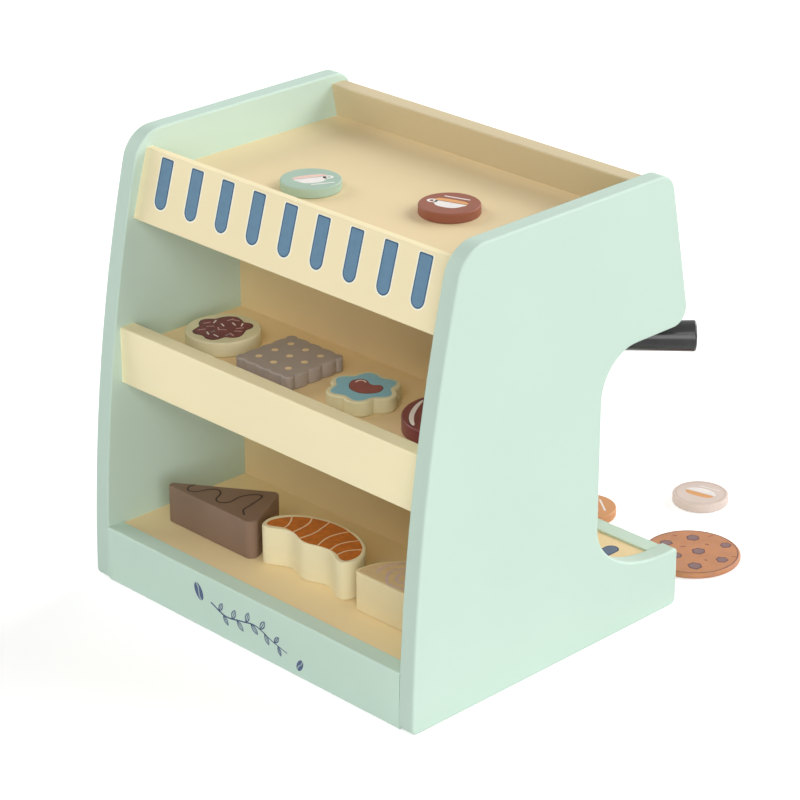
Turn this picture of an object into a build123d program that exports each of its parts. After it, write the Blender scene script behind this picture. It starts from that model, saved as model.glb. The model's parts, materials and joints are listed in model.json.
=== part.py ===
"""Double-sided wooden play coffee maker: an espresso machine in front, a pastry shop behind.

Millimetres, +Z up. The machine's front faces -Y and the shop faces +Y. The origin is on the table,
midway between the end panels and midway between the foot and the shop front.
"""
from build123d import *
import os
from math import atan, cos, degrees, radians, sin

os.makedirs("parts", exist_ok=True)

# ---- the case -------------------------------------------------------------------------------
width = 290.0  # over both end panels
depth = 235.8  # from the shop front to the foot of the machine
height = 294.5  # top of the end panels
board = 12.0  # thickness of every main board
edge_round = 1.0  # sanded long edges of the boards
panel_round = 1.5  # routed outline of the end panels

back_lean = 39.6  # how far the panels' shop edge leans in by the time it reaches the top
back_bow = 9.2  # how far that edge bows outward from a straight line
rear_top_radius = 23.0
front_top_radius = 13.0
head_nose_radius = 11.0
foot_top_radius = 3.0
base_corner_radius = 5.0

head_top_depth = 217.2  # shop front to the brewing head's front edge, at the top
head_bottom_depth = 237.4  # the same, at the head's lower edge
head_edge_height = 193.5  # lower edge of the head on the end panels
bay_depth = 159.3  # shop front to the upright edge of the cup bay
bay_top_radius = 30.0
bay_sweep_depth = 65.0  # half-axes of the elliptical sweep from the bay down to the foot
bay_sweep_height = 40.0
foot_height = 39.6

# ---- boards between the end panels -----------------------------------------------------------
kick_height = 37.5
kick_inset = 1.0  # kick boards stand this far inside the panels' edges
kick_step = 1.2  # base board lies this far below the kick boards' tops
partition_setback = 119.2  # shop front to the partition's shop face
shelf_height = 156.9  # upper surface of the middle shelf
lip_rise = 14.4  # shelf lip above the shelf's surface
lip_height = 37.8
lip_setback = 18.3
tray_height = 266.1  # upper surface of the top tray
rail_rise = 22.5  # front panel above the tray
fascia_thickness = 6.0
fascia_rise = 17.7  # fascia above the tray
fascia_drop = 26.2  # fascia below the tray's surface
fascia_setback = 40.0  # shop front to the fascia's outer face, level with the tray's surface
fascia_lean = 15.8  # degrees
front_inset = 4.1  # front panel behind the panels' leaning front edge
head_floor_rise = 2.0  # head floor above the head's lower edge

# ---- joinery ---------------------------------------------------------------------------------
dowel_radius = 3.0
dowel_length = 24.0
dowel_in_panel = 7.0
dowel_clearance = 0.05
dowel_end_gap = 0.5
glue_gap = 0.05  # around glued pegs and tenons
running_clearance = 0.08  # around everything that turns
running_gap = 0.3  # between faces that slide past each other

# ---- controls on the leaning front -----------------------------------------------------------
knob_spacing = 170.0
knob_tray_gap = 1.0  # knob collars below the tray board
knob_radius = 17.0
knob_length = 16.0
knob_flutes = 10
flute_radius = 4.0
flute_depth = 1.4
knob_round = 1.5
axle_radius = 4.0
axle_in_knob = 10.0
collar_radius = 9.0
collar_length = 6.0
token_slot_width = 44.0
token_slot_height = 11.0
token_pocket_depth = 14.0  # behind the front panel
token_rest_wall = 3.0  # the rest stands on the head floor

# ---- brewing group ---------------------------------------------------------------------------
group_x = -52.0
group_setback = 197.4  # shop front to the group's upright axis
group_radius = 26.0
group_height = 14.0
basket_radius = 24.0
basket_height = 26.0
handle_heading = 225.1  # degrees, from +X
handle_reach = 102.5  # group axis to the handle's end
handle_root_radius = 8.6
handle_end_radius = 10.0
handle_end_round = 1.6
tenon_radius = 5.0
tenon_start = 9.0  # group axis to the tenon's inner end
pin_radius = 4.0
pin_head_radius = 8.0
pin_head_height = 4.0
pin_head_clearance = 0.5
spout_radius = 4.0
spout_spread = 15.0  # group axis to each spout
spout_length = 10.0
spout_in_basket = 6.0

# ---- milk steamer ----------------------------------------------------------------------------
wand_x = 52.0
wand_radius = 4.0
wand_collar_radius = 12.0
wand_collar_height = 12.0
wand_drop = 9.0  # straight stretch below the collar
wand_bend_radius = 16.0
wand_lean = 25.0  # degrees
wand_heading = 300.0  # degrees, from +X
wand_length = 58.0  # leaning stretch
washer_radius = 8.0
washer_height = 5.0
tip_radius = 6.0
tip_length = 18.0
tip_on_wand = 12.0

# ---- play food and tokens --------------------------------------------------------------------
token_radius = 19.0
token_thickness = 6.4
token_round = 1.0
mint_token_spot = (43.4, 18.2)
brown_token_spot = (-46.1, -11.4)
orange_token_x = -21.1
orange_token_away = 54.6  # from the foot of the machine
white_token_x = -61.5
white_token_away = 123.8
biscuit_radius = 24.0
biscuit_thickness = 10.0
biscuit_round = 1.2
biscuit_lip_gap = 15.9  # shelf lip to the row's rims
jam_panel_gap = 14.2
glazed_radius = 31.0
glazed_panel_gap = 3.2
glazed_lip_gap = 18.8
waffle_row_share = 0.3196  # of the way from the jam biscuit to the glazed one
flower_row_share = 0.6585
waffle_width = 48.8
waffle_scallops = 3  # on each side, between the corner lobes
waffle_scallop_pitch = 11.3
waffle_scallop_radius = 14.8
waffle_corner_radius = 4.0
waffle_valley_round = 0.8
flower_lobes = 6
flower_lobe_radius = 9.6
flower_lobe_offset = 13.8
flower_valley_round = 2.4
flower_turn = 5.0  # degrees
chip_biscuit_radius = 32.0
chip_biscuit_thickness = 3.8
chip_biscuit_round = 1.5
chip_biscuit_x = -110.7
chip_biscuit_away = 56.5
cake_height = 26.0
cake_round = 1.0
wedge_length = 89.4  # its long side, to the unrounded corners
wedge_width = 44.3
wedge_back_from_tip = 66.4
wedge_tip_round = 3.0
wedge_back_round = 4.0
wedge_blunt_round = 5.5
wedge_panel_gap = 11.3
wedge_kick_gap = 23.5
croissant_wedge_gap = 2.5
croissant_roll_gap = 8.3
croissant_back = 17.0
croissant_lobe = 16.0
croissant_kick_gap = 28.7
roll_radius = 37.4
roll_flat = 3.3  # circle's centre to the flat side
roll_corner_round = 4.5
roll_panel_gap = 3.2
roll_kick_gap = 25.9

# ---- places worked out from the sizes --------------------------------------------------------
inner_width = width - 2 * board
inner_face = inner_width / 2
shop_y = depth / 2
foot_y = -depth / 2


def from_shop(distance):
    """Y of a point that lies a given distance behind the shop front."""
    return shop_y - distance


head_slope = (head_bottom_depth - head_top_depth) / (height - head_edge_height)
head_lean = degrees(atan(head_slope))
head_under = head_edge_height + head_floor_rise
head_floor_top = head_under + board
rail_height = tray_height + rail_rise
base_top = kick_height - kick_step
base_under = base_top - board
shelf_under = shelf_height - board
tray_under = tray_height - board
partition_face = from_shop(partition_setback)
partition_back = partition_face - board
lip_face = from_shop(lip_setback)
lip_back = lip_face - board
lip_top = shelf_height + lip_rise
kick_rear_face = shop_y - kick_inset
kick_front_face = foot_y + kick_inset
fascia_slope = sin(radians(fascia_lean)) / cos(radians(fascia_lean))
fascia_span = fascia_thickness / cos(radians(fascia_lean))
fascia_top = tray_height + fascia_rise
fascia_bottom = tray_height - fascia_drop
front_span = board / cos(radians(head_lean))


def front_outer(z):
    """Y of the front panel's outer face at a height."""
    return from_shop(head_top_depth + (height - z) * head_slope) + front_inset


def front_inner(z):
    return front_outer(z) + front_span


def fascia_outer(z):
    """Y of the fascia's outer face at a height."""
    return from_shop(fascia_setback) - (z - tray_height) * fascia_slope


def fascia_inner(z):
    return fascia_outer(z) - fascia_span


def front_middle(z):
    return front_outer(z) + front_span / 2


front_mid_height = (head_under + rail_height) / 2
face_rise = cos(radians(head_lean))  # height gained per length up the face
face_drop = sin(radians(head_lean))  # height lost per length into the head, square to the face
front_normal = (0, -face_rise, face_drop)
front_face = Plane(
    origin=(0, front_outer(front_mid_height), front_mid_height), x_dir=(1, 0, 0), z_dir=front_normal
)


def save(piece, name):
    """Label a finished piece and write it as a node of its own."""
    piece.part.label = name
    export_step(piece.part, f"parts/{name}.step")
    print(f"{name}: {len(piece.part.solids())} solid, {piece.part.volume / 1000:.2f} cm3")


# ---- dowels: (y, z) of every dowel, in the middle of the board's thickness --------------------
thirds = (1 / 3, 2 / 3)
outer_quarters = (1 / 4, 3 / 4)
quarters = (1 / 4, 1 / 2, 3 / 4)


def spread(start, end, shares):
    """Places along a board, at shares of the way from one edge to the other."""
    return [start + (end - start) * share for share in shares]


kick_middle = kick_height / 2
base_middle = base_top - board / 2
tray_middle = tray_height - board / 2
shelf_middle = shelf_height - board / 2
head_floor_middle = head_under + board / 2
tray_dowel_rows = spread(fascia_inner(tray_middle), front_inner(tray_middle), outer_quarters)
head_dowel_rows = spread(partition_back, front_inner(head_under), thirds)
board_ends = {
    "kick_board_rear": [(kick_rear_face - board / 2, kick_middle)],
    "kick_board_front": [(kick_front_face + board / 2, kick_middle)],
    "base_board": [(y, base_middle) for y in spread(foot_y, shop_y, outer_quarters)],
    "base_stretcher": [(0, base_under / 2)],
    "partition_board": [(partition_face - board / 2, z) for z in spread(base_top, tray_under, quarters)],
    "middle_shelf": [(y, shelf_middle) for y in spread(partition_face, lip_back, outer_quarters)],
    "shelf_lip": [(lip_face - board / 2, shelf_height)],
    "tray_board": [(y, tray_middle) for y in tray_dowel_rows],
    "head_floor": [(y, head_floor_middle) for y in head_dowel_rows],
    "front_panel": [(front_middle(z), z) for z in spread(head_under, rail_height, thirds)],
}
dowel_spots = [spot for spots in board_ends.values() for spot in spots]
dowel_centre = inner_face + dowel_in_panel - dowel_length / 2
dowel_hole_radius = dowel_radius + dowel_clearance
dowel_hole_length = dowel_length + 2 * dowel_end_gap


def dowel_places(spots):
    """Both ends of each dowel row."""
    return [(side * dowel_centre, y, z) for side in (-1, 1) for y, z in spots]


# ---- end panels: one outline, routed and drilled as a pair -------------------------------------
def end_panel(name, side):
    rear_top = (shop_y - back_lean, height)
    front_top = (from_shop(head_top_depth), height)
    nose = (from_shop(head_bottom_depth), head_edge_height)
    bay_y = from_shop(bay_depth)
    bay_top = (bay_y, head_edge_height)
    sweep_centre = (bay_y - bay_sweep_depth, foot_height + bay_sweep_height)
    with BuildPart() as panel:
        with BuildSketch(Plane.YZ.offset(side * inner_face)) as outline:
            with BuildLine():
                SagittaArc((shop_y, 0), rear_top, -back_bow)
                Polyline(rear_top, front_top, nose, bay_top, (bay_y, sweep_centre[1]))
                EllipticalCenterArc(sweep_centre, bay_sweep_depth, bay_sweep_height, 0, arc_size=-90)
                Polyline(
                    (sweep_centre[0], foot_height), (foot_y, foot_height), (foot_y, 0), (shop_y, 0)
                )
            make_face()
            for corner, radius in (
                ((shop_y, 0), base_corner_radius),
                (rear_top, rear_top_radius),
                (front_top, front_top_radius),
                (nose, head_nose_radius),
                (bay_top, bay_top_radius),
                ((foot_y, foot_height), foot_top_radius),
                ((foot_y, 0), base_corner_radius),
            ):
                fillet(outline.vertices().sort_by_distance(corner)[0], radius)
        extrude(amount=side * board)
        fillet(panel.faces().filter_by(Plane.YZ).edges(), panel_round)
        with Locations(*[(side * dowel_centre, y, z) for y, z in dowel_spots]):
            Cylinder(dowel_hole_radius, dowel_hole_length, rotation=(0, 90, 0), mode=Mode.SUBTRACT)
    save(panel, name)


end_panel("side_panel_left", -1)
end_panel("side_panel_right", 1)


# ---- boards between the panels: a section in the YZ plane, doweled at both ends ----------------
def cross_board(name, corners, rounded=()):
    """A plain board between the end panels, with the long edges at some corners sanded round."""
    with BuildPart() as piece:
        with BuildSketch(Plane.YZ.offset(-inner_face)):
            with BuildLine():
                Polyline(*corners, close=True)
            make_face()
        extrude(amount=inner_width)
        long_edges = piece.edges().filter_by(Axis.X)
        if rounded:
            fillet([long_edges.sort_by_distance((0, *corner))[0] for corner in rounded], edge_round)
        with Locations(*dowel_places(board_ends[name])):
            Cylinder(dowel_hole_radius, dowel_hole_length, rotation=(0, 90, 0), mode=Mode.SUBTRACT)
    save(piece, name)


def rectangle(y_low, y_high, z_low, z_high):
    return [(y_low, z_low), (y_high, z_low), (y_high, z_high), (y_low, z_high)]


def outer_edges(y, z_low, z_high):
    return [(y, z_low), (y, z_high)]


lip_section = rectangle(lip_back, lip_face, lip_top - lip_height, lip_top)
tray_section = [
    (front_inner(tray_under), tray_under),
    (fascia_inner(tray_under), tray_under),
    (fascia_inner(tray_height), tray_height),
    (front_inner(tray_height), tray_height),
]
cross_board(
    "kick_board_rear",
    rectangle(kick_rear_face - board, kick_rear_face, 0, kick_height),
    outer_edges(kick_rear_face, 0, kick_height),
)
cross_board(
    "kick_board_front",
    rectangle(kick_front_face, kick_front_face + board, 0, kick_height),
    outer_edges(kick_front_face, 0, kick_height),
)
cross_board(
    "base_board",
    rectangle(kick_front_face + board, kick_rear_face - board, base_under, base_top),
    [(kick_front_face + board, base_top), (kick_rear_face - board, base_top)],
)
cross_board(
    "base_stretcher",
    rectangle(-board / 2, board / 2, 0, base_under),
    [(-board / 2, 0), (board / 2, 0)],
)
cross_board("partition_board", rectangle(partition_back, partition_face, base_top, tray_under))
cross_board(
    "middle_shelf",
    rectangle(partition_face, lip_back, shelf_under, shelf_height),
    [(lip_back, shelf_under)],
)
cross_board("shelf_lip", lip_section, lip_section)
cross_board("tray_board", tray_section)

# The fascia is too thin to dowel: it is glued to the tray board's bevelled edge.
fascia_section = [
    (fascia_outer(fascia_bottom), fascia_bottom),
    (fascia_outer(fascia_top), fascia_top),
    (fascia_inner(fascia_top), fascia_top),
    (fascia_inner(fascia_bottom), fascia_bottom),
]
with BuildPart() as fascia:
    with BuildSketch(Plane.YZ.offset(-inner_face)):
        with BuildLine():
            Polyline(*fascia_section, close=True)
        make_face()
    extrude(amount=inner_width)
    fillet(fascia.edges().filter_by(Axis.X), edge_round)
save(fascia, "fascia_board")

# Front panel: leans back with the head's edge. Two axle bores and the token slot go through it. The
# knobs sit as high as their collars fit under the tray, and the slot as low as its rest on the head floor.
collar_span = (board + running_gap, board + running_gap + collar_length)
collar_drop = min(reach * face_drop for reach in collar_span)
knob_height = tray_under - knob_tray_gap - collar_radius * face_rise + collar_drop
knob_up = (knob_height - front_mid_height) / face_rise
knob_spots = [(-knob_spacing / 2, knob_up), (knob_spacing / 2, knob_up)]
token_rest_height = token_slot_height + 2 * token_rest_wall
rest_span = (board, board + token_pocket_depth + token_rest_wall)
rest_drop = max(reach * face_drop for reach in rest_span)
token_slot_z = head_floor_top + glue_gap + token_rest_height / 2 * face_rise + rest_drop
token_slot_up = (token_slot_z - front_mid_height) / face_rise
axle_bore_radius = axle_radius + running_clearance
with BuildPart() as front:
    with BuildSketch(Plane.YZ.offset(-inner_face)):
        with BuildLine():
            Polyline(
                (front_outer(head_under), head_under),
                (front_inner(head_under), head_under),
                (front_inner(rail_height), rail_height),
                (front_outer(rail_height), rail_height),
                close=True,
            )
        make_face()
    extrude(amount=inner_width)
    top_edges = front.faces().sort_by(Axis.Z)[-1].edges().filter_by(Axis.X)
    lowest_edge = front.faces().sort_by(Axis.Z)[0].edges().filter_by(Axis.X).sort_by(Axis.Y)[0]
    fillet([*top_edges, lowest_edge], edge_round)
    with Locations(*dowel_places(board_ends["front_panel"])):
        Cylinder(dowel_hole_radius, dowel_hole_length, rotation=(0, 90, 0), mode=Mode.SUBTRACT)
    with BuildSketch(front_face):
        with Locations(*knob_spots):
            Circle(axle_bore_radius)
        with Locations((0, token_slot_up)):
            SlotOverall(token_slot_width, token_slot_height)
    extrude(amount=-board, mode=Mode.SUBTRACT)
save(front, "front_panel")

# Head floor: its front edge is bevelled to the front panel. The group pin is glued into a blind
# hole, and the steam wand passes through.
group_y = from_shop(group_setback)
group_pin_depth = board - 2 * edge_round
with BuildPart() as head_floor:
    with BuildSketch(Plane.YZ.offset(-inner_face)):
        with BuildLine():
            Polyline(
                (front_inner(head_under), head_under),
                (partition_back, head_under),
                (partition_back, head_floor_top),
                (front_inner(head_floor_top), head_floor_top),
                close=True,
            )
        make_face()
    extrude(amount=inner_width)
    with Locations(*dowel_places(board_ends["head_floor"])):
        Cylinder(dowel_hole_radius, dowel_hole_length, rotation=(0, 90, 0), mode=Mode.SUBTRACT)
    with BuildSketch(Plane.XY.offset(head_under)):
        with Locations((group_x, group_y)):
            Circle(pin_radius + glue_gap)
    extrude(amount=group_pin_depth + dowel_end_gap, mode=Mode.SUBTRACT)
    with BuildSketch(Plane.XY.offset(head_under)):
        with Locations((wand_x, group_y)):
            Circle(wand_radius + running_clearance)
    extrude(amount=board, mode=Mode.SUBTRACT)
save(head_floor, "head_floor")

# ---- dowels -----------------------------------------------------------------------------------
with BuildPart() as dowels:
    with Locations(*dowel_places(dowel_spots)):
        Cylinder(dowel_radius, dowel_length, rotation=(0, 90, 0))
    fillet(dowels.edges().filter_by(GeomType.CIRCLE), edge_round / 2)
save(dowels, "joint_dowels")

# ---- token rest: an open box glued behind the token slot ----------------------------------------
with BuildPart() as token_rest:
    with BuildSketch(front_face.offset(-board)):
        with Locations((0, token_slot_up)):
            Rectangle(token_slot_width + 2 * token_rest_wall, token_rest_height)
    extrude(amount=-(token_pocket_depth + token_rest_wall))
    with BuildSketch(front_face.offset(-board)):
        with Locations((0, token_slot_up)):
            Rectangle(token_slot_width, token_slot_height)
    extrude(amount=-token_pocket_depth, mode=Mode.SUBTRACT)
save(token_rest, "token_rest")


# ---- knobs: a fluted knob on an axle, held by a collar behind the panel --------------------------
def knob_set(name, spot):
    knob_base = front_face.offset(running_gap)
    axle_end = running_gap + axle_in_knob
    axle_length = axle_end + board + running_gap + collar_length
    with BuildPart() as knob:
        with BuildSketch(knob_base):
            with Locations(spot):
                Circle(knob_radius)
                with PolarLocations(knob_radius + flute_radius - flute_depth, knob_flutes):
                    Circle(flute_radius, mode=Mode.SUBTRACT)
        extrude(amount=knob_length)
        crown = knob.faces().sort_by(Axis(front_face.origin, front_face.z_dir))[-1]
        fillet(crown.edges(), knob_round)
        with BuildSketch(knob_base):
            with Locations(spot):
                Circle(axle_radius + glue_gap)
        extrude(amount=axle_in_knob + glue_gap, mode=Mode.SUBTRACT)
    save(knob, f"{name}_knob")
    with BuildPart() as axle:
        with BuildSketch(front_face.offset(axle_end)):
            with Locations(spot):
                Circle(axle_radius)
        extrude(amount=-axle_length)
        fillet(axle.edges().filter_by(GeomType.CIRCLE), edge_round / 2)
    save(axle, f"{name}_knob_axle")
    with BuildPart() as collar:
        with BuildSketch(front_face.offset(-board - running_gap)):
            with Locations(spot):
                Circle(collar_radius)
                Circle(axle_radius + glue_gap, mode=Mode.SUBTRACT)
        extrude(amount=-collar_length)
    save(collar, f"{name}_knob_collar")


knob_set("brew", knob_spots[0])
knob_set("steam", knob_spots[1])

# ---- brewing group: a fixed group head, a pin through it, and the basket that turns on the pin ----
basket_top = head_under - group_height - running_gap
basket_under = basket_top - basket_height
handle_height = basket_under + basket_height / 2
pin_pocket = pin_head_height + 2 * running_gap
handle_way = Vector(cos(radians(handle_heading)), sin(radians(handle_heading)), 0)
with BuildPart() as group_head:
    with BuildSketch(Plane.XY.offset(head_under)):
        with Locations((group_x, group_y)):
            Circle(group_radius)
    extrude(amount=-group_height)
    fillet(group_head.faces().sort_by(Axis.Z)[0].edges(), 2 * edge_round)
    with BuildSketch(Plane.XY.offset(head_under)):
        with Locations((group_x, group_y)):
            Circle(pin_radius + glue_gap)
    extrude(amount=-group_height, mode=Mode.SUBTRACT)
save(group_head, "group_head")

pin_head_top = basket_under + pin_pocket - running_gap
with BuildPart() as group_pin:
    with BuildSketch(Plane.XY.offset(pin_head_top)):
        with Locations((group_x, group_y)):
            Circle(pin_radius)
    extrude(amount=head_under + group_pin_depth - pin_head_top)
    with BuildSketch(Plane.XY.offset(pin_head_top)):
        with Locations((group_x, group_y)):
            Circle(pin_head_radius)
    extrude(amount=-pin_head_height)
    fillet(group_pin.faces().sort_by(Axis.Z)[0].edges(), edge_round)
save(group_pin, "group_pin")

handle_plane = Plane(origin=(group_x, group_y, handle_height), x_dir=(0, 0, 1), z_dir=handle_way)
spout_step = handle_way.cross(Vector(0, 0, 1)) * spout_spread
spout_spots = [(group_x + side * spout_step.X, group_y + side * spout_step.Y) for side in (-1, 1)]
with BuildPart() as basket:
    with BuildSketch(Plane.XY.offset(basket_under)):
        with Locations((group_x, group_y)):
            Circle(basket_radius)
    extrude(amount=basket_height)
    fillet(basket.edges().filter_by(GeomType.CIRCLE), 2 * edge_round)
    with BuildSketch(Plane.XY.offset(basket_under)):
        with Locations((group_x, group_y)):
            Circle(pin_radius + running_clearance)
    extrude(amount=basket_height, mode=Mode.SUBTRACT)
    with BuildSketch(Plane.XY.offset(basket_under)):
        with Locations((group_x, group_y)):
            Circle(pin_head_radius + pin_head_clearance)
    extrude(amount=pin_pocket, mode=Mode.SUBTRACT)
    with BuildSketch(Plane.XY.offset(basket_under)):
        with Locations(*spout_spots):
            Circle(spout_radius + glue_gap)
    extrude(amount=spout_in_basket + glue_gap, mode=Mode.SUBTRACT)
    with BuildSketch(handle_plane.offset(tenon_start - glue_gap)):
        Circle(tenon_radius + glue_gap)
    extrude(amount=basket_radius - tenon_start + edge_round, mode=Mode.SUBTRACT)
save(basket, "portafilter_basket")

with BuildPart() as handle:
    with BuildSketch(handle_plane.offset(tenon_start)):
        Circle(handle_root_radius)
    with BuildSketch(handle_plane.offset(handle_reach)):
        Circle(handle_end_radius)
    loft()
    far_face = handle.faces().sort_by(Axis((group_x, group_y, handle_height), handle_way))[-1]
    fillet(far_face.edges(), handle_end_round)
    with Locations((group_x, group_y, handle_height)):
        Cylinder(basket_radius + glue_gap, 2 * basket_height, mode=Mode.SUBTRACT)
    with BuildSketch(handle_plane.offset(tenon_start)):
        Circle(tenon_radius)
    extrude(amount=basket_radius - tenon_start + edge_round)
save(handle, "portafilter_handle")

with BuildPart() as spouts:
    with BuildSketch(Plane.XY.offset(basket_under - spout_length)):
        with Locations(*spout_spots):
            Circle(spout_radius)
    extrude(amount=spout_length + spout_in_basket)
    fillet(spouts.edges().group_by(Axis.Z)[0], edge_round)
save(spouts, "portafilter_spouts")

# ---- milk steamer: the wand turns in its collar and the head floor, and a washer keeps it up -------
collar_under = head_under - wand_collar_height
with BuildPart() as steam_collar:
    with BuildSketch(Plane.XY.offset(head_under)):
        with Locations((wand_x, group_y)):
            Circle(wand_collar_radius)
    extrude(amount=-wand_collar_height)
    fillet(steam_collar.faces().sort_by(Axis.Z)[0].edges(), 2 * edge_round)
    with BuildSketch(Plane.XY.offset(head_under)):
        with Locations((wand_x, group_y)):
            Circle(wand_radius + running_clearance)
    extrude(amount=-wand_collar_height, mode=Mode.SUBTRACT)
save(steam_collar, "steam_collar")

wand_top = head_floor_top + running_gap + washer_height
wand_knee = collar_under - wand_drop
lean = radians(wand_lean)
heading = radians(wand_heading)
# The wand's own upright plane: its first axis points outward along the heading, its second up.
wand_plane = Plane(
    origin=(wand_x, group_y, wand_knee),
    x_dir=(cos(heading), sin(heading), 0),
    z_dir=(sin(heading), -cos(heading), 0),
)
wand_end = (wand_length * sin(lean), -wand_length * cos(lean))
with BuildPart() as wand:
    with BuildLine(wand_plane) as wand_path:
        FilletPolyline((0, wand_top - wand_knee), (0, 0), wand_end, radius=wand_bend_radius)
    with BuildSketch(Plane.XY.offset(wand_top)):
        with Locations((wand_x, group_y)):
            Circle(wand_radius)
    sweep(path=wand_path.wires()[0])
save(wand, "steam_wand")

wand_foot = wand_path.wires()[0] @ 1
wand_way = wand_path.wires()[0] % 1
with BuildPart() as tip:
    with BuildSketch(Plane(origin=wand_foot - wand_way * tip_on_wand, z_dir=wand_way)):
        Circle(tip_radius)
    extrude(amount=tip_length)
    fillet(tip.edges().filter_by(GeomType.CIRCLE), 2 * edge_round)
    with BuildSketch(Plane(origin=wand_foot - wand_way * tip_on_wand, z_dir=wand_way)):
        Circle(wand_radius + glue_gap)
    extrude(amount=tip_on_wand + glue_gap, mode=Mode.SUBTRACT)
save(tip, "steam_tip")

with BuildPart() as washer:
    with BuildSketch(Plane.XY.offset(head_floor_top + running_gap)):
        with Locations((wand_x, group_y)):
            Circle(washer_radius)
            Circle(wand_radius + glue_gap, mode=Mode.SUBTRACT)
    extrude(amount=washer_height)
save(washer, "wand_washer")

# ---- outlines of the play pieces, each about its own origin ----------------------------------------
with BuildSketch() as token_outline:
    Circle(token_radius)

with BuildSketch() as jam_outline:
    Circle(biscuit_radius)

with BuildSketch() as glazed_outline:
    Circle(glazed_radius)

with BuildSketch() as chip_outline:
    Circle(chip_biscuit_radius)

# The waffle is a square with shallow scallops along its sides and a round lobe at every corner.
waffle_scallop_row = waffle_width - 2 * waffle_scallop_radius
waffle_lobe_span = waffle_width - 2 * waffle_corner_radius
waffle_core = waffle_width - waffle_corner_radius


def scalloped_band(turn):
    """A strip as wide as the waffle, scalloped along its two long sides."""
    with BuildSketch() as band:
        with Locations(Location((0, 0, 0), (0, 0, turn))):
            with GridLocations(waffle_scallop_pitch, waffle_scallop_row, waffle_scallops, 2):
                Circle(waffle_scallop_radius)
            Rectangle(waffle_width, waffle_core)
    return band.sketch


with BuildSketch() as waffle_outline:
    add(scalloped_band(0))
    add(scalloped_band(90), mode=Mode.INTERSECT)
    with GridLocations(waffle_lobe_span, waffle_lobe_span, 2, 2):
        Circle(waffle_corner_radius)
    fillet(waffle_outline.vertices(), waffle_valley_round)

with BuildSketch() as flower_outline:
    Circle(flower_lobe_offset)
    with PolarLocations(flower_lobe_offset, flower_lobes, flower_turn):
        Circle(flower_lobe_radius)
    fillet(flower_outline.vertices(), flower_valley_round)

# The cake wedge's long side faces the shop; its origin is the sharp corner beside the end panel.
wedge_back = (-wedge_back_from_tip, -wedge_width)
wedge_blunt = (-wedge_length, 0)
wedge_rounding = [((0, 0), wedge_tip_round), (wedge_back, wedge_back_round), (wedge_blunt, wedge_blunt_round)]
with BuildSketch() as wedge_outline:
    with BuildLine():
        Polyline((0, 0), wedge_back, wedge_blunt, close=True)
    make_face()
    for corner, radius in wedge_rounding:
        fillet(wedge_outline.vertices().sort_by_distance(corner)[0], radius)

kick_inner_face = kick_rear_face - board
wedge_spot = (inner_face - wedge_panel_gap, kick_inner_face - wedge_kick_gap)
roll_spot = (-inner_face + roll_panel_gap + roll_radius, kick_inner_face - roll_kick_gap - roll_flat)

# The croissant fills the room between the other two cakes.
croissant_right = wedge_spot[0] + wedge_outline.sketch.bounding_box().min.X - croissant_wedge_gap
croissant_left = roll_spot[0] + roll_radius + croissant_roll_gap
croissant_reach = (croissant_right - croissant_left) / 2
croissant_x = (croissant_right + croissant_left) / 2
croissant_spot = (croissant_x, kick_inner_face - croissant_kick_gap - croissant_back)

# The croissant's right half, from the middle of its curved back to the middle of its front lobe.
croissant_half = [
    (0, -croissant_back),
    (0.33 * croissant_reach, -0.93 * croissant_back),
    (0.8 * croissant_reach, -0.4 * croissant_back),
    (croissant_reach, 0.55 * croissant_back),
    (0.89 * croissant_reach, 1.04 * croissant_back),
    (0.44 * croissant_reach, 0.69 * croissant_back),
]
croissant_other_half = [(-x, y) for x, y in reversed(croissant_half[1:])]
with BuildSketch() as croissant_outline:
    with BuildLine():
        Spline(*croissant_half, (0, croissant_lobe), *croissant_other_half, periodic=True)
    make_face()

with BuildSketch() as roll_outline:
    Circle(roll_radius)
    with Locations((0, roll_flat)):
        Rectangle(2 * roll_radius, 2 * roll_radius, align=(Align.CENTER, Align.MIN), mode=Mode.SUBTRACT)
    fillet(roll_outline.vertices(), roll_corner_round)


def play_piece(name, outline, spot, seat, thickness, rounding):
    """A flat piece cut to an outline and laid down at a spot, with both rims sanded round."""
    with BuildPart() as piece:
        with BuildSketch(Plane(origin=(*spot, seat))):
            add(outline.sketch)
        extrude(amount=thickness)
        fillet(piece.faces().filter_by(Plane.XY).edges(), rounding)
    save(piece, name)


token_spots = {
    "token_mint": (*mint_token_spot, tray_height),
    "token_brown": (*brown_token_spot, tray_height),
    "token_orange": (orange_token_x, foot_y - orange_token_away, 0),
    "token_white": (white_token_x, foot_y - white_token_away, 0),
}
for node, (x, y, seat) in token_spots.items():
    play_piece(node, token_outline, (x, y), seat, token_thickness, token_round)

biscuit_row_y = lip_back - biscuit_lip_gap - biscuit_radius
glazed_y = lip_back - glazed_lip_gap - glazed_radius
jam_x = inner_face - jam_panel_gap - biscuit_radius
glazed_x = -inner_face + glazed_panel_gap + glazed_radius
waffle_x = jam_x + (glazed_x - jam_x) * waffle_row_share
flower_x = jam_x + (glazed_x - jam_x) * flower_row_share
biscuits = {
    "cookie_jam": (jam_outline, (jam_x, biscuit_row_y)),
    "cookie_waffle": (waffle_outline, (waffle_x, biscuit_row_y)),
    "cookie_flower": (flower_outline, (flower_x, biscuit_row_y)),
    "cookie_glazed": (glazed_outline, (glazed_x, glazed_y)),
}
for node, (outline, spot) in biscuits.items():
    play_piece(node, outline, spot, shelf_height, biscuit_thickness, biscuit_round)
chip_spot = (chip_biscuit_x, foot_y - chip_biscuit_away)
play_piece("cookie_choc_chip", chip_outline, chip_spot, 0, chip_biscuit_thickness, chip_biscuit_round)

play_piece("cake_wedge", wedge_outline, wedge_spot, base_top, cake_height, cake_round)
play_piece("croissant", croissant_outline, croissant_spot, base_top, cake_height, cake_round)
play_piece("roll_half", roll_outline, roll_spot, base_top, cake_height, cake_round)
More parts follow.
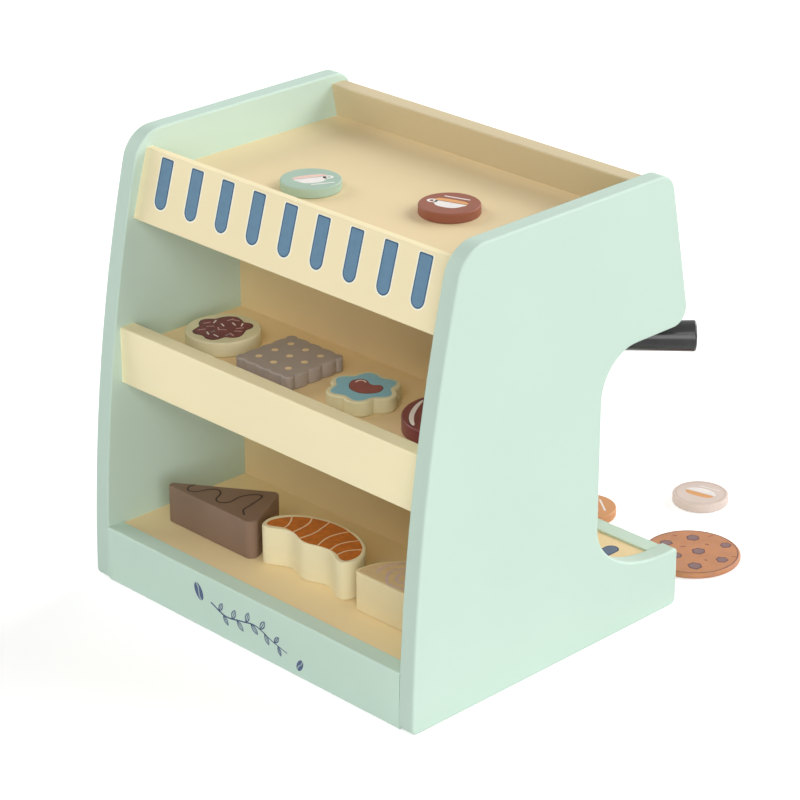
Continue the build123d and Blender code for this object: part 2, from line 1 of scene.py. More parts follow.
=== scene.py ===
"""Double-sided wooden play coffee maker: espresso machine in front, pastry shop behind.

Everything is in metres, with +Z up, the machine facing -Y and the shop facing +Y. Prints are drawn in
millimetres on the face that carries them.
"""
import json
import random
from math import cos, pi, radians, sin

import bpy
import bmesh
from mathutils import Matrix, Vector


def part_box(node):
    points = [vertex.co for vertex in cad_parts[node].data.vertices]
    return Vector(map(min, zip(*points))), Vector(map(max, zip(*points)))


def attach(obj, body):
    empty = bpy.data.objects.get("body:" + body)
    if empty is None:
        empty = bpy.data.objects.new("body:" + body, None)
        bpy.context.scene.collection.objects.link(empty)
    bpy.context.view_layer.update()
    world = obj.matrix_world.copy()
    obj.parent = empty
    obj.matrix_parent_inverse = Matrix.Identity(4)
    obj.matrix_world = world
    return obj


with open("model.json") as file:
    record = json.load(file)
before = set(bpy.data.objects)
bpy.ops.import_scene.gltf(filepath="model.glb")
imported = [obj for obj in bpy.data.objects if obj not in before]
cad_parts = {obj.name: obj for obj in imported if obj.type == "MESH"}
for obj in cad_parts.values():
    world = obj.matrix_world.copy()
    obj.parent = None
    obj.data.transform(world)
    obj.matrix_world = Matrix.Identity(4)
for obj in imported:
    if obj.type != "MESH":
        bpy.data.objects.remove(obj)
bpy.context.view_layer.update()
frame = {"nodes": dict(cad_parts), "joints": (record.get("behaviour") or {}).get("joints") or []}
nodes = frame["nodes"]


# ---------------------------------------------------------------------------------------------------
# Table, light and camera
# A plain white table in a white room, with five large soft lights round it, none of them strong. The
# camera looks down on the shop from its left corner.
# ---------------------------------------------------------------------------------------------------
camera_data = bpy.data.cameras.new("shop_corner_camera")
camera = bpy.data.objects.new("shop_corner_camera", camera_data)
bpy.context.scene.collection.objects.link(camera)
camera_place = (-1.1869, 1.1554, 0.8790)
to_right = Vector((-0.70244, -0.71174, -0.00077))
to_top = Vector((0.29194, -0.28910, 0.91169))
camera_turn = Matrix((to_right, to_top, to_right.cross(to_top))).transposed()
camera.matrix_world = Matrix.Translation(camera_place) @ camera_turn.to_4x4()
camera_data.sensor_width = 36.0
camera_data.lens = 131.11
camera_data.clip_end = 60.0
bpy.context.scene.camera = camera

lamp_softness = radians(35.0)
for lamp_name, towards, strength in (
    ("window_light", (-0.85, 0.49, 0.21), 1.20),
    ("shop_light", (-0.38, 0.66, 0.60), 0.95),
    ("side_light", (-0.61, -0.61, 0.50), 1.75),
    ("machine_light", (0.00, -0.91, 0.42), 1.50),
    ("far_light", (0.88, 0.24, 0.42), 1.40),
):
    lamp_data = bpy.data.lights.new(lamp_name, "SUN")
    lamp_data.energy = strength
    lamp_data.angle = lamp_softness
    lamp = bpy.data.objects.new(lamp_name, lamp_data)
    lamp.rotation_euler = Vector(towards).to_track_quat("Z", "Y").to_euler()
    bpy.context.scene.collection.objects.link(lamp)


def looked_at(tree):
    """1 for rays that look at a surface: from the camera, through glass or mirrored in gloss."""
    rays = tree.nodes.new("ShaderNodeLightPath")
    level = rays.outputs["Is Camera Ray"]
    for kind in ("Is Transmission Ray", "Is Glossy Ray"):
        either = tree.nodes.new("ShaderNodeMath")
        either.operation = "MAXIMUM"
        tree.links.new(level, either.inputs[0])
        tree.links.new(rays.outputs[kind], either.inputs[1])
        level = either.outputs[0]
    return level


room = bpy.data.worlds.new("white_room")
room.use_nodes = True
bpy.context.scene.world = room
tree = room.node_tree
room_light = tree.nodes["Background"]
room_light.inputs["Color"].default_value = (1.0, 1.0, 1.0, 1.0)
room_strength = tree.nodes.new("ShaderNodeMapRange")
room_strength.inputs["To Min"].default_value = 0.06
room_strength.inputs["To Max"].default_value = 1.0
tree.links.new(looked_at(tree), room_strength.inputs["Value"])
tree.links.new(room_strength.outputs["Result"], room_light.inputs["Strength"])

table_reach = 12.0
table_level = -0.0003
table_mesh = bpy.data.meshes.new("table_top")
table_mesh.from_pydata(
    [(table_reach * x, table_reach * y, table_level) for x, y in ((-1, -1), (1, -1), (1, 1), (-1, 1))],
    [], [(0, 1, 2, 3)],
)
table = bpy.data.objects.new("table_top", table_mesh)
bpy.context.scene.collection.objects.link(table)
table_white = bpy.data.materials.new("table_white")
table_white.use_nodes = True
tree = table_white.node_tree
tree.nodes.clear()
surface = tree.nodes.new("ShaderNodeOutputMaterial")
paper = tree.nodes.new("ShaderNodeBsdfDiffuse")
paper.inputs["Color"].default_value = (0.80, 0.80, 0.80, 1.0)
glow = tree.nodes.new("ShaderNodeEmission")
glow_level = tree.nodes.new("ShaderNodeMath")
glow_level.operation = "MULTIPLY"
glow_level.inputs[1].default_value = 0.50
tree.links.new(looked_at(tree), glow_level.inputs[0])
tree.links.new(glow_level.outputs[0], glow.inputs["Strength"])
both = tree.nodes.new("ShaderNodeAddShader")
tree.links.new(paper.outputs[0], both.inputs[0])
tree.links.new(glow.outputs[0], both.inputs[1])
tree.links.new(both.outputs[0], surface.inputs["Surface"])
table_mesh.materials.append(table_white)
bpy.context.scene.view_settings.view_transform = "Standard"


# ---------------------------------------------------------------------------------------------------
# End panels
# Two 12 mm boards routed to one outline and sprayed with satin mint paint, a little uneven where the
# coats overlap. Glued dowels hold every cross board between them.
# ---------------------------------------------------------------------------------------------------
def sprayed_paint(
    name, colour, drift=0.04, cloud=14.0, grain=700.0, relief=0.00003, dullness=0.5, fleck=None
):
    """Satin paint: slow drift in shade, fine spray grain in relief, uneven dullness, flecks if asked for."""
    paint = bpy.data.materials.new(name)
    paint.use_nodes = True
    tree = paint.node_tree
    shader = tree.nodes["Principled BSDF"]
    shader.inputs["Specular IOR Level"].default_value = 0.25
    place = tree.nodes.new("ShaderNodeTexCoord")
    coats = tree.nodes.new("ShaderNodeTexNoise")
    coats.inputs["Scale"].default_value = cloud
    coats.inputs["Detail"].default_value = 4.0
    tree.links.new(place.outputs["Object"], coats.inputs["Vector"])
    shade = tree.nodes.new("ShaderNodeValToRGB")
    shade.color_ramp.elements[0].position = 0.3
    shade.color_ramp.elements[1].position = 0.7
    shade.color_ramp.elements[0].color = (*[channel * (1 - drift) for channel in colour], 1.0)
    shade.color_ramp.elements[1].color = (*[min(1.0, channel * (1 + drift)) for channel in colour], 1.0)
    tree.links.new(coats.outputs["Fac"], shade.inputs["Fac"])
    colour_out = shade.outputs["Color"]
    if fleck:
        fleck_colour, fleck_scale, fleck_share = fleck
        specks = tree.nodes.new("ShaderNodeTexNoise")
        specks.inputs["Scale"].default_value = fleck_scale
        specks.inputs["Detail"].default_value = 5.0
        tree.links.new(place.outputs["Object"], specks.inputs["Vector"])
        speck_mask = tree.nodes.new("ShaderNodeMapRange")
        speck_mask.inputs["From Min"].default_value = 1.0 - fleck_share - 0.12
        speck_mask.inputs["From Max"].default_value = 1.0 - fleck_share + 0.12
        speck_mask.inputs["To Max"].default_value = 0.8
        tree.links.new(specks.outputs["Fac"], speck_mask.inputs["Value"])
        flecked = tree.nodes.new("ShaderNodeMix")
        flecked.data_type = "RGBA"
        flecked.inputs["B"].default_value = (*fleck_colour, 1.0)
        tree.links.new(speck_mask.outputs["Result"], flecked.inputs["Factor"])
        tree.links.new(colour_out, flecked.inputs["A"])
        colour_out = flecked.outputs["Result"]
    tree.links.new(colour_out, shader.inputs["Base Color"])
    spray = tree.nodes.new("ShaderNodeTexNoise")
    spray.inputs["Scale"].default_value = grain
    spray.inputs["Detail"].default_value = 3.0
    tree.links.new(place.outputs["Object"], spray.inputs["Vector"])
    skin = tree.nodes.new("ShaderNodeBump")
    skin.inputs["Distance"].default_value = relief
    skin.inputs["Strength"].default_value = 0.6
    tree.links.new(spray.outputs["Fac"], skin.inputs["Height"])
    tree.links.new(skin.outputs["Normal"], shader.inputs["Normal"])
    dull = tree.nodes.new("ShaderNodeMapRange")
    dull.inputs["To Min"].default_value = dullness - 0.06
    dull.inputs["To Max"].default_value = dullness + 0.08
    tree.links.new(coats.outputs["Fac"], dull.inputs["Value"])
    tree.links.new(dull.outputs["Result"], shader.inputs["Roughness"])
    return paint


def finish(node, material):
    """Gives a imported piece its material."""
    for place in nodes[node].material_slots:
        place.material = material


mint = sprayed_paint("mint_board_paint", (0.540, 0.690, 0.597), drift=0.018, cloud=9.0)
for panel in ("side_panel_left", "side_panel_right"):
    finish(panel, mint)


# ---------------------------------------------------------------------------------------------------
# Kick boards and stretcher
# Upright boards in a mint painted lighter than the panels', as painted light, between the panels at the
# table.
# The shop's kick board is printed in slate blue with two coffee beans and a leafy sprig.
# ---------------------------------------------------------------------------------------------------
# Painted light: the kick boards and stretcher take a mint painted lighter than the panels' mint, standing in
# for light that reaches them less.
painted_light_kick_mint = sprayed_paint("mint_kick_painted_light", (0.600, 0.775, 0.665), drift=0.02, cloud=16.0)
for kick in ("kick_board_rear", "kick_board_front", "base_stretcher"):
    finish(kick, painted_light_kick_mint)


def printing_ink(name, colour, drift=0.05, dullness=0.42):
    """Pad-printed ink: a thin even film with a faint dot structure."""
    return sprayed_paint(name, colour, drift, cloud=240.0, grain=2400.0, relief=0.00001, dullness=dullness)


def face_of(node, normal, across, along, middle):
    """A print's own flat frame on a piece's outermost face that looks along a normal.

    Millimetres a and b run along two directions from the foot of a middle point on that face.
    """
    normal = Vector(normal).normalized()
    across, along, middle = Vector(across), Vector(along), Vector(middle)
    outermost = max(normal.dot(corner.co) for corner in nodes[node].data.vertices)
    foot = middle + normal * (outermost - normal.dot(middle))

    def place(a, b, lift):
        return foot + (across * a + along * b + normal * lift) / 1000

    return place


def bend(before, start, end, after, steps):
    """The smooth curve's points from start up to, but without, end."""
    return [
        0.5
        * (
            2 * start
            + (end - before) * t
            + (2 * before - 5 * start + 4 * end - after) * t * t
            + (3 * start - before - 3 * end + after) * t * t * t
        )
        for t in (step / steps for step in range(steps))
    ]


def closed_curve(points, steps=8):
    """A smooth closed line through points."""
    line = []
    for index in range(len(points)):
        line += bend(*(Vector(points[(index + shift) % len(points)]) for shift in (-1, 0, 1, 2)), steps)
    return line


def open_curve(points, steps=8):
    """A smooth line through points, from the first to the last."""
    points = [Vector(point) for point in points]
    points = [2 * points[0] - points[1], *points, 2 * points[-1] - points[-2]]
    line = []
    for index in range(1, len(points) - 2):
        line += bend(*points[index - 1 : index + 3], steps)
    line.append(points[-2])
    return line


def stroke(points, width, steps=8, taper=1.0):
    """The outline of a pen stroke with round ends; taper narrows it towards its last point."""
    line = open_curve(points, steps) if len(points) > 2 else [Vector(point) for point in points]
    left, right = [], []
    for index, point in enumerate(line):
        ahead = (line[min(index + 1, len(line) - 1)] - line[max(index - 1, 0)]).normalized()
        half = width / 2 * (1 + (taper - 1) * index / (len(line) - 1))
        side = Vector((-ahead.y, ahead.x)) * half
        left.append(point + side)
        right.append(point - side)
    outline = list(right)
    for end, tail, sign in ((line[-1], line[-2], 1), (line[0], line[1], -1)):
        ahead = (end - tail).normalized()
        half = width / 2 * (taper if sign == 1 else 1.0)
        for turn in range(1, 6):
            angle = -pi / 2 + pi * turn / 6
            side = Vector((-ahead.y, ahead.x))
            outline.append(end + (ahead * cos(angle) + side * sin(angle)) * half)
        if sign == 1:
            outline += reversed(left)
    return outline


film_thickness = 0.05


def printed(name, shapes, place, ink, body, lift=0.06):
    """Lays flat printed shapes on a face. A shape is an outline, or the two lines of one ring."""
    film = bmesh.new()
    for shape in shapes:
        if isinstance(shape, tuple):
            outer, inner = ([film.verts.new(place(a, b, lift)) for a, b in line] for line in shape)
            for index in range(len(outer)):
                after = (index + 1) % len(outer)
                film.faces.new((outer[index], outer[after], inner[after], inner[index]))
        else:
            top = [film.verts.new(place(a, b, lift)) for a, b in shape]
            foot = [film.verts.new(place(a, b, lift - film_thickness)) for a, b in shape]
            film.faces.new(top)
            for index in range(len(top)):
                after = (index + 1) % len(top)
                film.faces.new((top[after], top[index], foot[index], foot[after]))
    mesh = bpy.data.meshes.new(name)
    film.to_mesh(mesh)
    film.free()
    mesh.materials.append(ink)
    piece = bpy.data.objects.new(name, mesh)
    bpy.context.scene.collection.objects.link(piece)
    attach(piece, body)


def oval(a, b, half_length, half_width, turn=0.0, count=32):
    """An ellipse round a middle point, turned by some degrees."""
    angle = radians(turn)
    return [
        (
            a + half_length * cos(t) * cos(angle) - half_width * sin(t) * sin(angle),
            b + half_length * cos(t) * sin(angle) + half_width * sin(t) * cos(angle),
        )
        for t in (2 * pi * step / count for step in range(count))
    ]


def turned(points, a, b, turn, size):
    """A small shape's points, turned by some degrees, sized and set at a place."""
    angle = radians(turn)
    return [
        (a + size * (u * cos(angle) - v * sin(angle)), b + size * (u * sin(angle) + v * cos(angle)))
        for u, v in points
    ]


slate_ink = printing_ink("slate_blue_ink", (0.085, 0.120, 0.240))
slate_line_ink = printing_ink("slate_line_ink", (0.125, 0.170, 0.275))
kick_crease_ink = printing_ink("mint_split_ink", (0.40, 0.53, 0.50))
kick_print = face_of("kick_board_rear", (0, 1, 0), (-1, 0, 0), (0, 0, 1), (0, 0, 0))
bean_length, bean_width = 6.1, 3.5
bean_crease = [(-5.6, 0.5), (-3.0, 0.9), (0.0, 0.0), (3.0, -0.9), (5.6, -0.5)]
beans, creases = [], []
for a, b, size, turn in ((-44.7, 24.7, 1.0, 118.0), (47.5, 8.6, 0.72, 62.0)):
    beans.append(oval(a, b, bean_length * size, bean_width * size, turn))
    creases.append(stroke(turned(bean_crease, a, b, turn, size), 0.9 * size))
printed("kick_beans_print", beans, kick_print, slate_ink, "machine")
printed("kick_bean_creases_print", creases, kick_print, kick_crease_ink, "machine", lift=0.10)
stem = [(-33.0, 21.0), (-20.0, 16.5), (-6.0, 18.5), (8.0, 20.5), (22.0, 16.0), (36.0, 12.5)]
leaf = [(0.0, 0.0), (2.4, 1.7), (5.2, 1.9), (8.2, 0.0), (5.2, -1.9), (2.4, -1.7)]
leaf_vein = [(0.0, 0.0), (6.4, 0.0)]
leaf_line_width = 1.0
sprig = [stroke(stem, 1.25, taper=0.5)]
for a, b, turn, size in (
    (-26.0, 17.9, 62.0, 0.9), (-22.0, 16.6, -52.0, 0.9), (-14.0, 16.7, 66.0, 1.0), (-9.5, 17.7, -42.0, 1.0),
    (-1.0, 19.5, 70.0, 1.0), (3.5, 20.2, -38.0, 1.0), (12.0, 19.7, 58.0, 1.0), (16.0, 18.4, -60.0, 0.95),
    (24.5, 15.3, 50.0, 0.85), (28.0, 14.2, -66.0, 0.8),
):
    leaf_line = closed_curve(turned(leaf, a, b, turn, size), 6)
    centre = sum(leaf_line, Vector((0.0, 0.0))) / len(leaf_line)
    spokes = [point - centre for point in leaf_line]
    inner_line = [centre + spoke * (1 - leaf_line_width / max(spoke.length, 1.4)) for spoke in spokes]
    sprig.append((leaf_line, inner_line))
    sprig.append(stroke(turned(leaf_vein, a, b, turn, size), 0.7))
printed("kick_sprig_print", sprig, kick_print, slate_line_ink, "machine")


# ---------------------------------------------------------------------------------------------------
# Base board
# The floor of the lower shelf and, on the machine side, the drip board. Cream satin paint, printed
# with nine slots where the real machine's drip grid would be.
# ---------------------------------------------------------------------------------------------------
base_cream = sprayed_paint("cream_base_paint", (0.900, 0.725, 0.420), drift=0.025, cloud=11.0)
finish("base_board", base_cream)
drip_ink = printing_ink("drip_blue_ink", (0.115, 0.165, 0.255))
drip_line_ink = printing_ink("drip_line_ink", (0.040, 0.070, 0.130))
base_print = face_of("base_board", (0, 0, 1), (1, 0, 0), (0, 1, 0), (0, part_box("base_board")[0].y, 0))


def round_slot(middle, start, end, width, count=14):
    """A slot's outline with a round nose at its start and square corners, just softened, at its end."""
    half = width / 2
    line = [
        (middle - half * cos(pi * step / count), start + half - half * sin(pi * step / count))
        for step in range(count + 1)
    ]
    corner = min(1.0, half / 3)
    for turn in range(5):
        angle = radians(22.5 * turn)
        line.append((middle + half - corner + corner * cos(angle), end - corner + corner * sin(angle)))
    for turn in range(5):
        angle = radians(90 + 22.5 * turn)
        line.append((middle - half + corner + corner * cos(angle), end - corner + corner * sin(angle)))
    return line


drip_start, drip_end, drip_width = 8.6, 70.0, 9.8
drip_pitch = 28.2
drip_line_width = 0.9
drip_middles = [drip_pitch * index for index in range(-4, 5)]
for print_name, ink, inset, lift in (
    ("drip_slot_edges_print", drip_line_ink, 0.0, 0.06),
    ("drip_slots_print", drip_ink, drip_line_width, 0.10),
):
    start, end, width = drip_start + inset, drip_end - inset, drip_width - 2 * inset
    drip_slots = [round_slot(middle, start, end, width) for middle in drip_middles]
    printed(print_name, drip_slots, base_print, ink, "machine", lift)


# ---------------------------------------------------------------------------------------------------
# Partition, middle shelf and shelf lip
# Cream boards between the panels. The partition divides the shop from the machine, and the tall lip
# in front of the shelf keeps the biscuits on it.
# ---------------------------------------------------------------------------------------------------
shelf_cream = sprayed_paint("cream_shelf_paint", (0.920, 0.715, 0.405), drift=0.025, cloud=12.0)
lip_cream = sprayed_paint("cream_lip_paint", (0.975, 0.870, 0.560), drift=0.02, cloud=10.0)
finish("partition_board", shelf_cream)
finish("middle_shelf", shelf_cream)
finish("shelf_lip", lip_cream)


# ---------------------------------------------------------------------------------------------------
# Tray board and fascia
# The tray's floor is cream like the shelves. The thin fascia leans against its bevelled edge like an
# awning and is printed with nine blue slots, each with a fine dark line and a pale rim.
# ---------------------------------------------------------------------------------------------------
tray_cream = sprayed_paint("cream_tray_paint", (0.815, 0.660, 0.402), drift=0.03, cloud=8.0)
finish("tray_board", tray_cream)
fascia_cream = sprayed_paint("cream_fascia_paint", (0.940, 0.825, 0.530), drift=0.02, cloud=10.0)
finish("fascia_board", fascia_cream)
awning_ink = printing_ink("awning_blue_ink", (0.130, 0.250, 0.365))
awning_line_ink = printing_ink("awning_line_ink", (0.045, 0.100, 0.190))
awning_rim_ink = printing_ink("awning_rim_ink", (1.000, 0.950, 0.790))
fascia_lean = radians(15.8)
fascia_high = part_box("fascia_board")[1]
awning_print = face_of(
    "fascia_board",
    (0, cos(fascia_lean), sin(fascia_lean)),
    (1, 0, 0),
    (0, -sin(fascia_lean), cos(fascia_lean)),
    (0, fascia_high.y, fascia_high.z),
)
# The face's top edge, as millimetres up the face from its foot point.
awning_top = (fascia_high.z - awning_print(0, 0, 0).z) / cos(fascia_lean) * 1000
awning_nose, awning_end, awning_width = awning_top - 34.2, awning_top - 2.1, 10.8
awning_pitch = 27.9
awning_middles = [awning_pitch * index for index in range(-4, 5)]
for print_name, ink, grow, lift in (
    ("awning_rims_print", awning_rim_ink, 2.0, 0.06),
    ("awning_lines_print", awning_line_ink, 0.0, 0.10),
    ("awning_slots_print", awning_ink, -1.7, 0.14),
):
    nose, end = awning_nose - grow / 2, awning_end + min(grow, 0.6) / 2
    awning_slots = [round_slot(middle, nose, end, awning_width + grow) for middle in awning_middles]
    printed(print_name, awning_slots, awning_print, ink, "machine", lift)


# ---------------------------------------------------------------------------------------------------
# Front panel, head floor and token rest
# The machine's leaning front, with bores for the knobs and a slot that takes a drink token into the
# rest behind it. It is printed with a plain dial, knob scales and a frame round the slot.
# ---------------------------------------------------------------------------------------------------
# Painted shade: this cream is darker than the fascia's so that the front panel's face inside the tray looks
# shaded; the head floor and token rest share it.
front_shaded_cream = sprayed_paint("cream_front_painted_shade", (0.670, 0.560, 0.355), drift=0.02, cloud=10.0)
for node in ("front_panel", "head_floor", "token_rest"):
    finish(node, front_shaded_cream)
front_turn = next(joint for joint in frame["joints"] if joint["name"] == "brew_knob_turn")
front_normal = Vector(front_turn["axis"]).normalized()
front_up = Vector((0, front_normal.z, -front_normal.y))
knob_middle = Vector(front_turn["pos_m"])
front_print = face_of("front_panel", front_normal, (1, 0, 0), front_up, (0, knob_middle.y, knob_middle.z))
scale_ink = printing_ink("scale_blue_ink", (0.105, 0.235, 0.355))
gauge_white_ink = printing_ink("gauge_white_ink", (0.90, 0.88, 0.82))
needle_ink = printing_ink("needle_orange_ink", (0.70, 0.26, 0.07))
knob_reach = 85.0
scale_start, scale_long_end, scale_short_end = 20.5, 24.5, 22.5
gauge_b = 13.0
gauge_reach, gauge_line_width = 20.0, 1.8


def ray(a, b, turn, near, far, width, taper=1.0):
    """A straight pen stroke that points away from a middle point, from near it to far."""
    angle = radians(turn)
    ends = [(a + reach * cos(angle), b + reach * sin(angle)) for reach in (near, far)]
    return stroke(ends, width, taper=taper)


scales = []
for side in (-knob_reach, knob_reach):
    for step in range(-4, 5):
        far, width = (scale_long_end, 1.4) if step % 2 == 0 else (scale_short_end, 1.0)
        scales.append(ray(side, 0.0, 90 + 30 * step, scale_start, far, width))
printed("knob_scales_print", scales, front_print, scale_ink, "machine")
gauge_face = oval(0, gauge_b, 18.5, 18.5, count=64)
printed("gauge_face_print", [gauge_face], front_print, gauge_white_ink, "machine")
gauge_inner = gauge_reach - gauge_line_width
gauge = [tuple(oval(0, gauge_b, reach, reach, count=64) for reach in (gauge_reach, gauge_inner))]
for step in range(9):
    near = 12.6 if step % 4 == 0 else 14.2
    gauge.append(ray(0.0, gauge_b, 210 - 30 * step, near, 16.2, 1.1))
printed("gauge_ring_print", gauge, front_print, scale_ink, "machine", lift=0.12)
needle_heading = 62
needle = [ray(0.0, gauge_b, needle_heading, 0.0, 11.8, 2.2, taper=0.25), oval(0, gauge_b, 2.6, 2.6)]
printed("gauge_needle_print", needle, front_print, needle_ink, "machine", lift=0.16)


def racetrack(middle_b, half_length, half_height, count=12):
    """A long slot's outline."""
    reach = half_length - half_height
    line = []
    for sign in (1, -1):
        for step in range(count + 1):
            angle = -pi / 2 + pi * step / count
            a, b = reach + half_height * cos(angle), half_height * sin(angle)
            line.append((sign * a, middle_b + sign * b))
    return line


# The slot's edges are the lowest and highest points in the middle of the outer face, so the slot's
# middle is halfway between them.
front_foot = front_print(0, 0, 0)
outer_level = front_normal.dot(front_foot)
slot_edges = [
    (corner.co - front_foot).dot(front_up) * 1000
    for corner in nodes["front_panel"].data.vertices
    if abs(corner.co.x) < 0.020 and abs(front_normal.dot(corner.co) - outer_level) < 0.0001
]
slot_b = (min(slot_edges) + max(slot_edges)) / 2
slot_frame = (racetrack(slot_b, 27.0, 10.0), racetrack(slot_b, 25.4, 8.4))
printed("slot_frame_print", [slot_frame], front_print, scale_ink, "machine")


# ---------------------------------------------------------------------------------------------------
# Joint dowels
# Fluted 6 mm beech dowels, bare and glued in blind holes. Once the case is built they are closed
# inside the boards.
# ---------------------------------------------------------------------------------------------------
def bare_beech(name, colour, rings):
    """Turned beech: soft growth rings, short dark flecks and an open matt surface."""
    wood = bpy.data.materials.new(name)
    wood.use_nodes = True
    tree = wood.node_tree
    shader = tree.nodes["Principled BSDF"]
    place = tree.nodes.new("ShaderNodeTexCoord")
    stretch = tree.nodes.new("ShaderNodeMapping")
    stretch.inputs["Scale"].default_value = (0.25, 1.0, 1.0)
    tree.links.new(place.outputs["Object"], stretch.inputs["Vector"])
    growth = tree.nodes.new("ShaderNodeTexWave")
    growth.inputs["Scale"].default_value = rings
    growth.inputs["Distortion"].default_value = 3.5
    growth.inputs["Detail"].default_value = 3.0
    tree.links.new(stretch.outputs["Vector"], growth.inputs["Vector"])
    flecks = tree.nodes.new("ShaderNodeTexNoise")
    flecks.inputs["Scale"].default_value = 900.0
    flecks.inputs["Detail"].default_value = 4.0
    tree.links.new(stretch.outputs["Vector"], flecks.inputs["Vector"])
    shade = tree.nodes.new("ShaderNodeValToRGB")
    shade.color_ramp.elements[0].color = (*[channel * 0.82 for channel in colour], 1.0)
    shade.color_ramp.elements[1].color = (*[channel * 1.12 for channel in colour], 1.0)
    tree.links.new(growth.outputs["Fac"], shade.inputs["Fac"])
    flecked = tree.nodes.new("ShaderNodeMix")
    flecked.data_type = "RGBA"
    flecked.blend_type = "MULTIPLY"
    flecked.inputs["Factor"].default_value = 0.25
    tree.links.new(shade.outputs["Color"], flecked.inputs["A"])
    tree.links.new(flecks.outputs["Color"], flecked.inputs["B"])
    tree.links.new(flecked.outputs["Result"], shader.inputs["Base Color"])
    grain = tree.nodes.new("ShaderNodeBump")
    grain.inputs["Distance"].default_value = 0.00006
    grain.inputs["Strength"].default_value = 0.5
    tree.links.new(growth.outputs["Fac"], grain.inputs["Height"])
    tree.links.new(grain.outputs["Normal"], shader.inputs["Normal"])
    shader.inputs["Roughness"].default_value = 0.62
    return wood


beech = bare_beech("bare_beech", (0.62, 0.41, 0.23), rings=260.0)
finish("joint_dowels", beech)


# ---------------------------------------------------------------------------------------------------
# Knobs
# Two fluted black lacquered knobs on beech axles, each held by a glued collar behind the panel. A
# cream line on the crown shows where the knob points.
# ---------------------------------------------------------------------------------------------------
def black_lacquer(name, colour, dullness):
    """Gloss lacquer over turned wood: faint orange peel and a tone that drifts a little from place to place.
    """
    lacquer = sprayed_paint(name, colour, 0.25, cloud=60.0, grain=420.0, relief=0.00004, dullness=dullness)
    shader = lacquer.node_tree.nodes["Principled BSDF"]
    shader.inputs["Specular IOR Level"].default_value = 0.35
    shader.inputs["Coat Weight"].default_value = 0.18
    shader.inputs["Coat Roughness"].default_value = 0.12
    return lacquer


knob_black = black_lacquer("knob_black_lacquer", (0.018, 0.018, 0.020), 0.22)
pointer_ink = printing_ink("pointer_cream_ink", (0.88, 0.80, 0.60))
pointer = stroke([(0, 4.0), (0, 12.0)], 2.0)
for knob, side in (("brew_knob", -knob_reach / 1000), ("steam_knob", knob_reach / 1000)):
    finish(knob, knob_black)
    finish(f"{knob}_axle", beech)
    finish(f"{knob}_collar", beech)
    crown = face_of(knob, front_normal, (1, 0, 0), front_up, (side, knob_middle.y, knob_middle.z))
    printed(f"{knob}_pointer_print", [pointer], crown, pointer_ink, knob)


# ---------------------------------------------------------------------------------------------------
# Brewing group
# A turned group head glued under the head floor, and a basket that swings on a pin through it. The
# basket is grey like brushed metal, with a black handle and two spouts.
# ---------------------------------------------------------------------------------------------------
group_grey = sprayed_paint("group_grey_paint", (0.42, 0.44, 0.45), drift=0.05, cloud=40.0, dullness=0.38)
for node in ("group_head", "portafilter_basket", "portafilter_spouts"):
    finish(node, group_grey)
finish("group_pin", beech)
handle_black = black_lacquer("handle_black_lacquer", (0.022, 0.022, 0.024), 0.20)
finish("portafilter_handle", handle_black)


# ---------------------------------------------------------------------------------------------------
# Milk steamer
# An 8 mm rod, bent and painted grey, that turns in its collar. A glued beech washer above the head
# floor keeps it up, and a black tip closes its end.
# ---------------------------------------------------------------------------------------------------
steamer_grey = sprayed_paint("steamer_grey_paint", (0.45, 0.47, 0.48), drift=0.05, cloud=60.0, dullness=0.34)
finish("steam_collar", steamer_grey)
finish("steam_wand", steamer_grey)
finish("steam_tip", handle_black)
finish("wand_washer", beech)


# ---------------------------------------------------------------------------------------------------
# Drink tokens
# Four sawn discs dipped in paint, one for each drink, printed on top with a cup of the drink's colour.
# They go edge on into the machine's slot.
# ---------------------------------------------------------------------------------------------------
def top_of(node, heading=0.0, middle=None):
    """A print's flat frame on a piece's top, turned by a heading in degrees round a middle point."""
    low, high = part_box(node)
    middle = middle or ((low.x + high.x) / 2, (low.y + high.y) / 2)
    turn = radians(heading)
    across = (cos(turn), sin(turn), 0)
    along = (-sin(turn), cos(turn), 0)
    return face_of(node, (0, 0, 1), across, along, (*middle, high.z))


cup_white_ink = printing_ink("cup_white_ink", (0.86, 0.81, 0.78))
coffee_orange_ink = printing_ink("coffee_orange_ink", (0.74, 0.36, 0.13))
foam_pink_ink = printing_ink("foam_pink_ink", (0.84, 0.58, 0.50))
rim_cream_ink = printing_ink("token_rim_ink", (0.60, 0.46, 0.40))
cup_bowl = [
    (-9.6, 1.4), (-9.0, -2.8), (-6.4, -6.4), (-2.5, -7.8), (2.5, -7.8), (6.4, -6.4), (9.0, -2.8), (9.6, 1.4),
]
cup_bowl = [(a, min(b, 1.0)) for a, b in closed_curve(cup_bowl, 6)]
cup_drink = [(-9.6, 1.6), (-9.2, 5.0), (-3.0, 6.0), (3.0, 6.0), (9.2, 5.0), (9.6, 1.6)]
cup_drink = [(a, max(b, 1.6)) for a, b in closed_curve(cup_drink, 6)]
left_handle = (oval(-11.2, -0.6, 3.4, 3.0), oval(-11.0, -0.6, 1.9, 1.6))
right_handle = (oval(10.9, -0.8, 3.4, 2.9), oval(10.7, -0.8, 1.6, 1.4))
saucer = stroke([(-2.5, -10.6), (11.5, -10.6)], 1.2)
steam = stroke([(-7.5, 9.8), (8.5, 9.8)], 1.3)
shallow_bowl = [(-9.2, -0.6), (-8.6, -3.8), (-4.0, -5.2), (4.0, -5.2), (8.4, -3.8), (9.0, -0.6)]
shallow_bowl = [(a, min(b, -0.6)) for a, b in closed_curve(shallow_bowl, 6)]
froth = [(-9.6, 0.2), (-8.6, 4.0), (-3.0, 6.6), (3.5, 6.6), (8.8, 4.0), (9.8, 0.2)]
froth = [(a, max(b, 0.2)) for a, b in closed_curve(froth, 6)]
